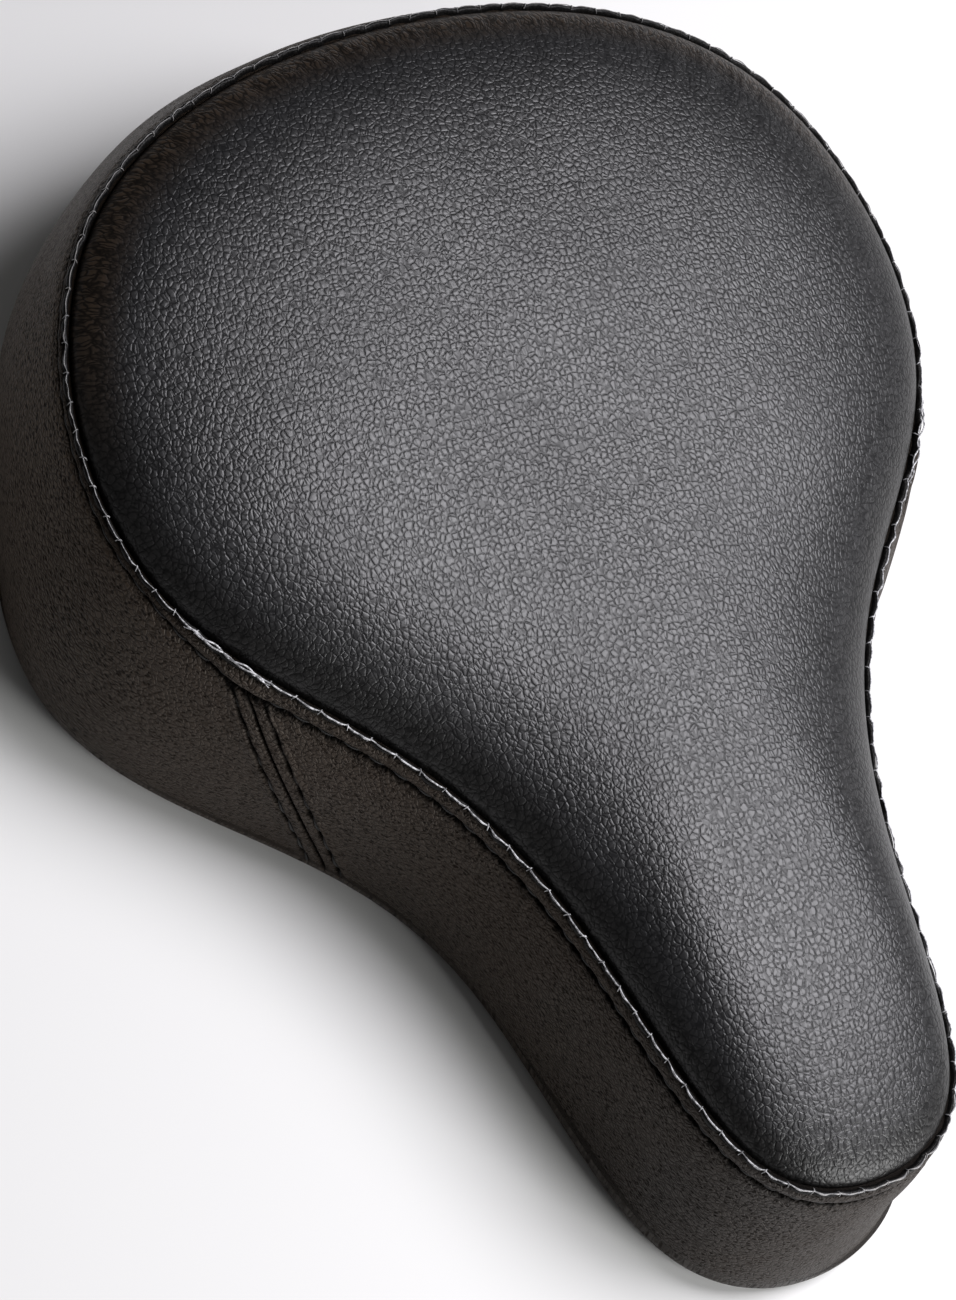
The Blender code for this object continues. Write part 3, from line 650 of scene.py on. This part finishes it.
def make_welt():
    """The folded lip: a rounded ridge pulled in and down at every stitch."""
    shares = np.arange(WELT_COLUMNS) / WELT_COLUMNS
    bow = scallop(shares)
    wander = Waves(41, 20, 60)(shares) * 0.00012
    thick = seam_overlap(shares)
    section = [
        (-0.0018, -0.0040), (-0.0018, -0.0022), (-0.0014, -0.0008), (-0.0009, 0.0001),
        (-0.0004, 0.0004), (0.0000, 0.0002), (0.0002, -0.0004), (0.0002, -0.0012),
        (-0.0002, -0.0022), (-0.0008, -0.0040),
    ]
    rows = []
    for outset, lift in section:
        upper = smooth(-0.003, 0.0, lift)
        out = outset + upper * (0.00050 * bow - 0.00030 + 0.0004 * thick) + wander
        up = lift + upper * (0.00020 * bow - 0.00020 + 0.0005 * thick)
        rows.append(seam_place(shares, out, up))
    grid = np.array(rows)
    faces = facing_out(grid, grid_faces(len(section), WELT_COLUMNS, True, True))
    return new_object("edge_welt_fold", grid, faces, WELT_LEATHER, 80)


def make_edge_threads():
    """The thread along the welt's crest, a pip over it at each stitch, and the overlap at the seams."""
    shares = np.arange(WELT_COLUMNS) / WELT_COLUMNS
    bow = scallop(shares)
    wander = Waves(43, 60, 260)(shares)
    slim = (strip_scale(shares) - 1 + REAR_STRIP_LOSS) / REAR_STRIP_LOSS
    bow = bow * (0.6 + 0.4 * slim)
    crest = seam_place(shares, -0.0004 + 0.0006 * bow + 0.00009 * wander, 0.00040 + 0.00012 * bow)
    paths = [(crest, True)]
    radii = [(0.00016 + 0.00007 * bow + 0.00004 * wander) * (0.55 + 0.45 * slim)]
    draw = np.random.default_rng(77)
    for k in range(EDGE_STITCHES):
        share = (k + draw.uniform(-0.06, 0.06)) / EDGE_STITCHES
        lean = draw.uniform(-0.0006, 0.0006)
        reach = draw.uniform(0.0006, 0.0011)
        slide = share + np.linspace(-lean, lean, 5) / SEAM_LENGTH
        outset = -0.0003 + np.array([-reach, -0.6 * reach, 0.0, 0.0003, 0.0005])
        lift = np.array([-0.0002, 0.0004, 0.0006, 0.0002, -0.0006])
        paths.append((seam_place(slide, outset, lift), False))
        radii.append(np.array([0.00010, 0.00015, 0.00019, 0.00015, 0.00010]))
    for side in (1, -1):
        for strand in range(2):
            spread = np.linspace(-SEAM_OVERLAP_NOSE, SEAM_OVERLAP_REAR, OVERLAP_SAMPLES)
            weave = np.sin(spread * OVERLAP_WEAVE + 2.2 * strand)
            slide = side * (SIDE_SEAM_TOP + spread)
            out = 0.0002 + 0.0005 * weave + 0.0003 * strand
            up = 0.0010 + 0.0003 * np.cos(spread * OVERLAP_WEAVE + strand)
            sample = np.arange(OVERLAP_SAMPLES)
            ends = smooth(0.0, 8.0, np.minimum(sample, sample[::-1]))
            paths.append((seam_place(slide, out, up - 0.0012 * (1 - ends)), False))
            radii.append(0.00010 + 0.00012 * ends)
    return tube("edge_thread", paths, radii, EDGE_THREAD)


# ---------------------------------------------------------------- side bands
def bell(offset):
    """A hill one high whose width is SEAM_BELL."""
    return np.clip(1 - (offset / SEAM_BELL) ** 2, 0.0, 1.0) ** 2


def slanted(track, rise):
    """Share of the loop at a rise, for a track that leans with the side seams where it is near them."""
    slant = (SIDE_SEAM_HEM - SIDE_SEAM_TOP) * (1 - np.clip(rise, 0.0, 1.0) ** SIDE_SEAM_CURVE)
    left = (track - SIDE_SEAM_TOP + 0.5) % 1.0 - 0.5
    right = (track + SIDE_SEAM_TOP + 0.5) % 1.0 - 0.5
    return track + slant * (bell(left) - bell(right))


def top_rise_height(shares):
    seam, _ = along(SEAM_LOOP, shares)
    return seam_height(seam[..., 1])


UPPER_DROPS = np.concatenate([
    np.linspace(0.0003, 0.0032, 7), np.linspace(0.0035, 0.0051, 9), np.linspace(0.0056, 0.0150, 15),
])
MIDDLE_ROWS = 34
WALL_WAVE = 0.00045
LOWER_START = 0.0085
HEM_ROLL = [
    (0.0000, 0.0072), (0.0001, 0.0058), (0.0004, 0.0045), (0.0009, 0.0032), (0.0017, 0.0021),
    (0.0028, 0.0011), (0.0042, 0.0004), (0.0060, 0.0001), (0.0080, 0.0001), (0.0098, 0.0008),
    (0.0112, 0.0020), (0.0126, 0.0028), (0.0145, 0.0030), (0.0165, 0.0030), (0.0185, 0.0030),
    (0.0203, 0.0031), (0.0207, 0.0037), (0.0204, 0.0044),
]
INSIDE_SECTION = [
    (0.0150, 0.0047), (0.0114, 0.0047), (0.0093, 0.0020), (0.0034, 0.0020), (0.0022, 0.0090),
]
INSIDE_RISES = (0.30, 0.55, 0.80, 0.985)
BAND_THICKNESS = 0.0022
BAND_GAP = 0.00012
HEM_ACROSS = 0.08
INSIDE_ACROSS = 0.1


def band_tracks(first, last, spacing=0.0009):
    """Tracks from one side seam to the next, closer together near the seams."""
    fine = np.concatenate([np.linspace(0, 0.0065, 27), np.linspace(0.0072, 0.012, 7)]) / SEAM_LENGTH
    count = int((last - first - 2 * fine[-1]) * SEAM_LENGTH / spacing)
    middle = np.linspace(first + fine[-1], last - fine[-1], count)[1:-1]
    return np.concatenate([first + fine, middle, (last - fine)[::-1]])


def side_row(from_seam, drop):
    """Needle holes of the side seam's rows, and the distance from the seam with their slight wave."""
    turn = 2 * math.pi * drop / SIDE_STITCH_PITCH
    return np.cos(turn / 2) ** 6, from_seam + 0.00016 * np.sin(turn)


def stitch_dark(track, strip, from_seam, drop):
    """Painted shade: how much darker the leather is painted in the stitch grooves, round the needle
    holes and under the welt, where shade falls.
    """
    near = drop / strip
    hole = np.cos(math.pi * stitch_phase(track)) ** 8
    streaks = 0.5 + 0.5 * np.tanh(2 * PUCKERS(track, drop * 300))
    dark = dip(near, TOPSTITCH_DROP + 0.0001, 0.00060) + 0.8 * dip(near, 0.0, 0.0010)
    dark = dark + (0.5 * hole + 0.40 * streaks) * strip**2 * dip(near, TOPSTITCH_DROP + 0.0009, 0.0009)
    dark = dark + 1.1 * (1 - strip) * smooth(TOPSTITCH_DROP + 0.0003, TOPSTITCH_DROP - 0.0006, near)
    below = smooth(0.003, 0.0060, drop)
    side_hole, beside = side_row(from_seam, drop)
    rows = (0.8 + 0.2 * side_hole) * dip(beside, SIDE_STITCH_OFFSET, 0.00065 + 0.00045 * side_hole)
    return np.clip(dark + below * (rows + dip(from_seam, 0.0, 0.00062)), 0.0, 1.0)


def band_relief(track, strip, from_seam, drop, height):
    """How far the leather stands out from the plain wall."""
    phase = stitch_phase(track)
    hole = np.cos(math.pi * phase) ** 8
    near = drop / strip
    roll = np.sin(math.pi * np.clip(near / TOPSTITCH_DROP, 0.0, 1.0))
    above = smooth(TOPSTITCH_DROP + 0.0002, TOPSTITCH_DROP - 0.0002, near)
    lip = (0.0008 * roll - 0.0003) * strip * above
    groove = -(0.00090 + 0.00025 * hole) * strip * dip(near, TOPSTITCH_DROP, 0.00050)
    cushion = 0.0004 * smooth(TOPSTITCH_DROP + 0.0003, TOPSTITCH_DROP + 0.004, near)
    cushion = cushion * smooth(0.030, 0.012, near)
    pull = -0.00018 * strip**2 * np.cos(math.pi * phase) ** 2
    pull = pull * smooth(TOPSTITCH_DROP, TOPSTITCH_DROP + 0.0008, near)
    pull = pull * smooth(TOPSTITCH_DROP + 0.0070, TOPSTITCH_DROP + 0.001, near)
    puckers = 0.00009 * PUCKERS(track, drop * 300) * dip(near, TOPSTITCH_DROP + 0.0022, 0.0022)
    relief = lip + groove + cushion + pull + puckers
    # the double-topstitched side seam
    below = smooth(0.004, 0.0085, drop)
    flat = smooth(0.0075, 0.0052, from_seam)
    side_hole, beside = side_row(from_seam, drop)
    ridge = 0.00035 * flat - 0.0011 * dip(from_seam, 0.0, 0.00050)
    ridge = ridge - (0.00080 + 0.00050 * side_hole) * dip(beside, SIDE_STITCH_OFFSET, 0.00058)
    relief = relief + ridge * below * smooth(0.0, 0.004, height)
    # thicker where all the layers meet under the welt
    lump = 0.0009 * smooth(0.009, 0.002, from_seam) * smooth(0.0, 0.002, drop)
    return relief + lump * smooth(0.0085, 0.004, drop)


PUCKERS = Waves(71, 260, 460)
WALL_WAVES = Waves(83, 5, 16, 12)
HEM_PLEATS = Waves(97, 70, 130)


def make_band(name, first, last):
    """One side band, as a closed skin: wall, rolled hem and flat inner face, then a cap at each seam."""
    tracks = band_tracks(first, last)
    columns = len(tracks)
    gap = BAND_GAP / SEAM_LENGTH
    tracks = np.clip(tracks, first + gap, last - gap)
    distance = np.minimum(tracks - first, last - tracks) * SEAM_LENGTH * SEAM_LEAN
    strip = strip_scale(tracks)
    rows = []
    place = []
    dark = []

    def outer_row(height_of):
        shares = slanted(tracks, 1.0)
        for _ in range(3):
            height = height_of(shares)
            shares = slanted(tracks, height / top_rise_height(shares))
        height = height_of(shares)
        drop = top_rise_height(shares) - height
        relief = band_relief(tracks, strip, distance, drop, height)
        waves = smooth(0.010, 0.025, drop) * smooth(0.0, 0.012, height)
        relief += WALL_WAVE * WALL_WAVES(shares, height * 60) * waves
        base = wall_points(shares, 0.0, height)
        push = wall_points(shares, -0.001, height) - base
        push /= np.linalg.norm(push, axis=-1, keepdims=True)
        rows.append(base + push * relief[:, None])
        place.append(loop_place(shares, drop))
        dark.append(stitch_dark(tracks, strip, distance, drop))

    for drop in UPPER_DROPS:
        outer_row(lambda shares, drop=drop: top_rise_height(shares) - drop * strip)
    for part in np.linspace(0.0, 1.0, MIDDLE_ROWS + 1)[1:]:
        def middle(shares, part=part):
            start = top_rise_height(shares) - UPPER_DROPS[-1] * strip
            return start + (LOWER_START - start) * part
        outer_row(middle)
    hem_shares = slanted(tracks, 0.0)
    convex = hem_bend(hem_shares)
    for inset, height in HEM_ROLL:
        low = slanted(tracks, height / top_rise_height(hem_shares))
        tuck = smooth(0.0015, 0.0070, inset) * smooth(0.0135, 0.0105, inset)
        flange = smooth(0.0105, 0.0135, inset)
        pleat = HEM_PLEATS(low, inset * 90)
        up = np.abs(pleat) * (0.00022 * tuck + 0.00010 * flange) * convex
        seam = smooth(0.0012, 0.0, distance) * 0.0004
        base = wall_points(low, inset, height)
        base[:, 2] += up + seam * (tuck + flange)
        rows.append(base)
        place.append(loop_place(low, HEM_ACROSS + inset))
    for inset, height in INSIDE_SECTION:
        rows.append(wall_points(hem_shares, inset, height))
        place.append(loop_place(hem_shares, INSIDE_ACROSS))
    for rise in INSIDE_RISES:
        shares = slanted(tracks, rise)
        rows.append(wall_points(shares, BAND_THICKNESS, top_rise_height(shares) * rise))
        place.append(loop_place(shares, INSIDE_ACROSS))
    grid = np.array(rows)
    faces = grid_faces(len(rows), columns, wrap_rows=True)
    faces = facing_out(grid, faces).tolist()
    for column, turn in ((0, 1), (columns - 1, -1)):
        faces.append([r * columns + column for r in range(len(rows))][::turn])
    built = new_object(name, grid, faces, SIDE_LEATHER, 80)
    repair_normals(built)
    store(built, "edge_place", np.array(place).reshape(-1, 3))
    # painted shade of the stitches and under the welt, stored for the side leather's colour
    shade = np.zeros((len(rows), columns, 3))
    shade[: len(dark), :, 0] = dark
    store(built, "stitch_dark", shade)
    return built


def hem_bend(shares):
    """Nearly one where the hem bends tightly and its leather gathers, nothing where it is straight."""
    _, before = along(HEM_LOOP, shares - 0.01)
    _, after = along(HEM_LOOP, shares + 0.01)
    turn = before[:, 0] * after[:, 1] - before[:, 1] * after[:, 0]
    return smooth(0.02, 0.30, turn)


def repair_normals(built):
    mesh = bmesh.new()
    mesh.from_mesh(built.data)
    bmesh.ops.recalc_face_normals(mesh, faces=mesh.faces)
    mesh.to_mesh(built.data)
    mesh.free()


def make_topstitches():
    """Dark stitches that lie in the groove below the welt."""
    paths = []
    radii = []
    spread = np.linspace(0.09, 0.91, 7)
    sink = np.array([0.0014, 0.0009, 0.0006, 0.0005, 0.0006, 0.0009, 0.0014])
    radius = np.array([0.00025, 0.00034, 0.00038, 0.00038, 0.00038, 0.00034, 0.00025])
    for k in range(EDGE_STITCHES):
        track = (k + spread) / EDGE_STITCHES
        strip = strip_scale(track)
        height = top_rise_height(track) - TOPSTITCH_DROP * strip
        paths.append((wall_points(track, sink * strip, height), False))
        radii.append(radius * strip**0.5)
    return tube("topstitch_thread", paths, radii, DARK_THREAD, sides=6)


def make_side_stitches():
    """The two rows of stitches beside each slanted side seam."""
    paths = []
    radii = []
    spread = np.linspace(0.10, 0.90, 6)
    sink = np.array([0.0012, 0.0007, 0.00035, 0.00035, 0.0007, 0.0012])
    radius = np.array([0.00024, 0.00033, 0.00036, 0.00036, 0.00033, 0.00024])
    for side in (1, -1):
        for row in (-1, 1):
            offset = row * SIDE_STITCH_OFFSET / SEAM_LEAN / SEAM_LENGTH
            start = SIDE_SEAM_TOP if side > 0 else 1 - SIDE_SEAM_TOP
            for k in range(1, SIDE_STITCHES):
                drops = (k + spread) * SIDE_STITCH_PITCH
                track = np.full(len(drops), start + offset)
                shares = slanted(track, 1.0)
                for _ in range(3):
                    height = top_rise_height(shares) - drops
                    shares = slanted(track, height / top_rise_height(shares))
                if height[-1] < LOWEST_STITCH:
                    continue
                paths.append((wall_points(shares, sink, height), False))
                radii.append(radius)
    return tube("side_seam_thread", paths, radii, DARK_THREAD, sides=6)


# ---------------------------------------------------------------- build
top = make_top()
welt = make_welt()
edge_thread = make_edge_threads()
nose_band = make_band("nose_band_cover", -SIDE_SEAM_TOP, SIDE_SEAM_TOP)
rear_band = make_band("rear_band_cover", SIDE_SEAM_TOP, 1.0 - SIDE_SEAM_TOP)
topstitch = make_topstitches()
side_stitches = make_side_stitches()

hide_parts("top_cover_panel")
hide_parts("edge_welt")
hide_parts("nose_side_band")
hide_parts("rear_side_band")
for piece, name in (
    (top, "leather_top"), (welt, "leather_top"), (edge_thread, "leather_top"),
    (nose_band, "leather_side"), (rear_band, "leather_side"),
    (topstitch, "leather_side"), (side_stitches, "leather_side"),
):
    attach(piece, "seat")

FINISHES = {
    "steel_black": painted_steel(),
    "zinc_steel": zinc(),
    "rivet_aluminium": rivet_metal(),
    "rubber": black_rubber(),
    "nylon": moulded_nylon(),
    "webbing": woven("tape_weave", (0.045, 0.045, 0.045), 1400.0),
    "foam_soft": woven("soft_foam", (0.70, 0.66, 0.52), 700.0),
    "foam_firm": woven("firm_foam", (0.26, 0.26, 0.28), 700.0),
}
for part in frame["record"]["subparts"]:
    finish = FINISHES.get(part["material_slot"])
    if finish is not None:
        node = frame["nodes"][part["node"]]
        if not node.material_slots:
            node.data.materials.append(finish)
        for holder in node.material_slots:
            holder.material = finish

# ---------------------------------------------------------------- floor, lights and camera
AZIMUTH = math.radians(-67.4)
ELEVATION = math.radians(54.5)
ROLL = math.radians(45.0)
DISTANCE = 1.146
TARGET = Vector((-0.0061, 0.0140, 0.0))
LENS = 118.6


def floor():
    n = Nodes("pale_floor")
    place = n.place()
    tone = n.mix_colour(n.noise(place, 3.0, 2.0), (0.73, 0.73, 0.72), (0.75, 0.75, 0.74))
    material = n.finish(Base_Color=tone, Roughness=0.9)
    size = 6.0
    corners = [(-size, -size, 0.0), (size, -size, 0.0), (size, size, 0.0), (-size, size, 0.0)]
    made = new_object("floor", corners, [[0, 1, 2, 3]], material)
    made.location.z = -0.0002


def soft_light(name, towards, distance, size, power, colour=(1.0, 1.0, 1.0)):
    light = bpy.data.lights.new(name, "AREA")
    light.shape = "RECTANGLE"
    light.size, light.size_y = size
    light.energy = power
    light.color = colour
    made = bpy.data.objects.new(name, light)
    direction = Vector(towards).normalized()
    made.location = direction * distance
    made.rotation_euler = direction.to_track_quat("Z", "Y").to_euler()
    bpy.context.collection.objects.link(made)


floor()
soft_light("key_softbox", (0.47, -0.10, 0.87), 1.5, (0.90, 0.90), 28.5, (0.97, 0.955, 1.0))
soft_light("nose_softbox", (0.38, -1.0, 0.42), 1.4, (0.7, 0.5), 16.0)

world = bpy.data.worlds.new("studio")
world.use_nodes = True
world.node_tree.nodes["Background"].inputs["Color"].default_value = (1.0, 1.0, 1.0, 1.0)
world.node_tree.nodes["Background"].inputs["Strength"].default_value = 0.09
bpy.context.scene.world = world
bpy.context.scene.view_settings.view_transform = "Standard"

back = Vector((
    math.sin(AZIMUTH) * math.cos(ELEVATION),
    -math.cos(AZIMUTH) * math.cos(ELEVATION),
    math.sin(ELEVATION),
))
right = Vector((math.cos(AZIMUTH), math.sin(AZIMUTH), 0.0))
up = back.cross(right)
turned_right = right * math.cos(ROLL) + up * math.sin(ROLL)
turned_up = -right * math.sin(ROLL) + up * math.cos(ROLL)
camera = bpy.data.cameras.new("camera")
camera.lens = LENS
camera.sensor_width = 36.0
camera_object = bpy.data.objects.new("camera", camera)
axes = Matrix((turned_right, turned_up, back)).transposed()
camera_object.matrix_world = Matrix.Translation(TARGET + back * DISTANCE) @ axes.to_4x4()
bpy.context.collection.objects.link(camera_object)
bpy.context.scene.camera = camera_object
